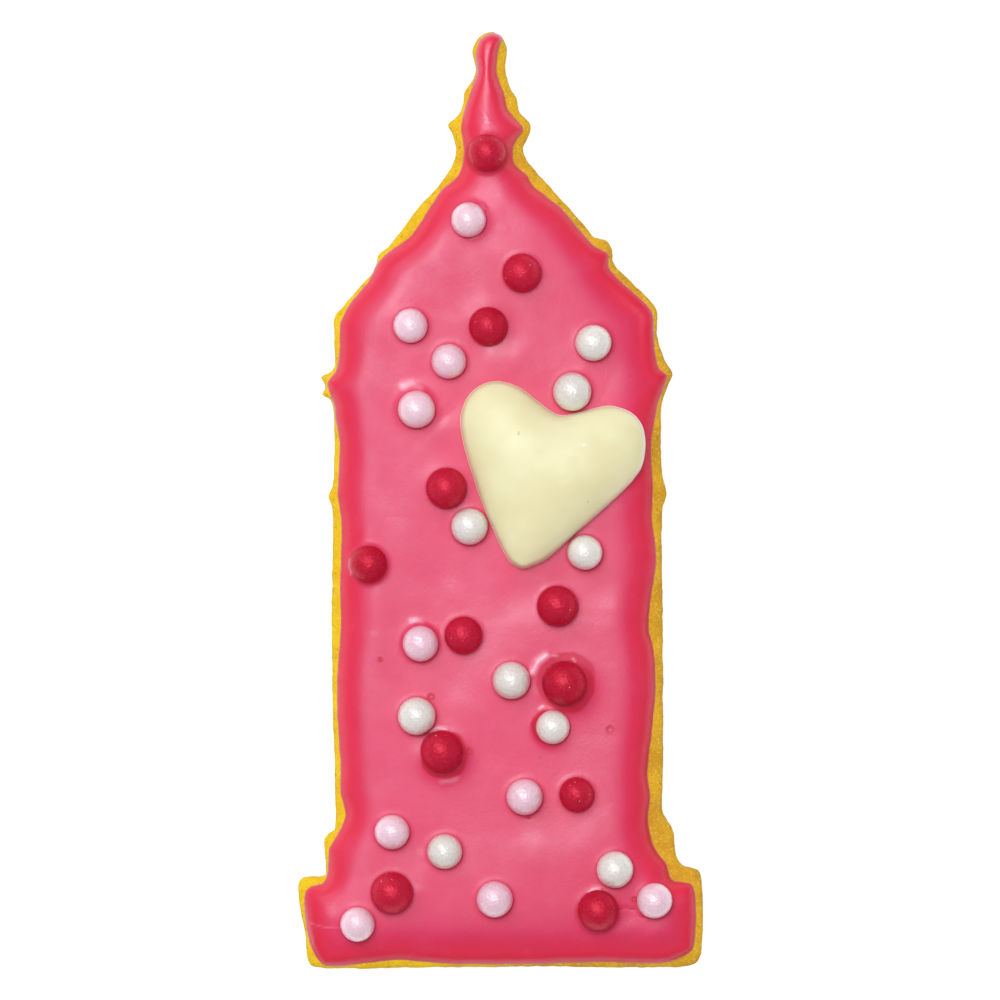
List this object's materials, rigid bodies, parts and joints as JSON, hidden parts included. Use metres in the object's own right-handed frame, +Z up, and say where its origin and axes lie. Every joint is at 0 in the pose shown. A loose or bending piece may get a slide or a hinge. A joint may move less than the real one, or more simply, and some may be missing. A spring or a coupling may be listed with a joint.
{
  "type": "iced sugar cookie",
  "caption": "Flat sugar cookie cut as a tower with a steeple, flooded with smooth pink icing and set with a cream candy heart and scattered red, pink and white sugar pearls.",
  "frame": {"origin": "middle of the footprint on the surface that the cookie lies on", "axes": "+Z up out of the iced side, +Y along the length towards the steeple's tip, +X to the right of the iced side seen from above"},
  "size_m": [0.045, 0.1042, 0.0128],
  "materials": {
    "biscuit": "matte baked crumb",
    "icing": "satin set icing",
    "heart": "soft satin candy",
    "pearl_red": "satin sugar shell",
    "pearl_pink": "pearlescent sugar shell",
    "pearl_white": "pearlescent sugar shell"
  },
  "bodies": {
    "root": {"biscuit": "biscuit", "icing": "icing", "heart": "heart", "pearl_red_01": "pearl_red", "pearl_red_02": "pearl_red", "pearl_red_03": "pearl_red", "pearl_red_04": "pearl_red", "pearl_red_05": "pearl_red", "pearl_red_06": "pearl_red", "pearl_red_07": "pearl_red", "pearl_red_08": "pearl_red", "pearl_red_09": "pearl_red", "pearl_red_10": "pearl_red", "pearl_red_11": "pearl_red", "pearl_red_12": "pearl_red", "pearl_pink_01": "pearl_pink", "pearl_pink_02": "pearl_pink", "pearl_pink_03": "pearl_pink", "pearl_pink_04": "pearl_pink", "pearl_pink_05": "pearl_pink", "pearl_pink_06": "pearl_pink", "pearl_pink_07": "pearl_pink", "pearl_pink_08": "pearl_pink", "pearl_pink_09": "pearl_pink", "pearl_pink_10": "pearl_pink", "pearl_white_01": "pearl_white", "pearl_white_02": "pearl_white", "pearl_white_03": "pearl_white", "pearl_white_04": "pearl_white", "pearl_white_05": "pearl_white", "pearl_white_06": "pearl_white", "pearl_white_07": "pearl_white", "pearl_white_08": "pearl_white", "pearl_white_09": "pearl_white"}
  },
  "joints": []
}
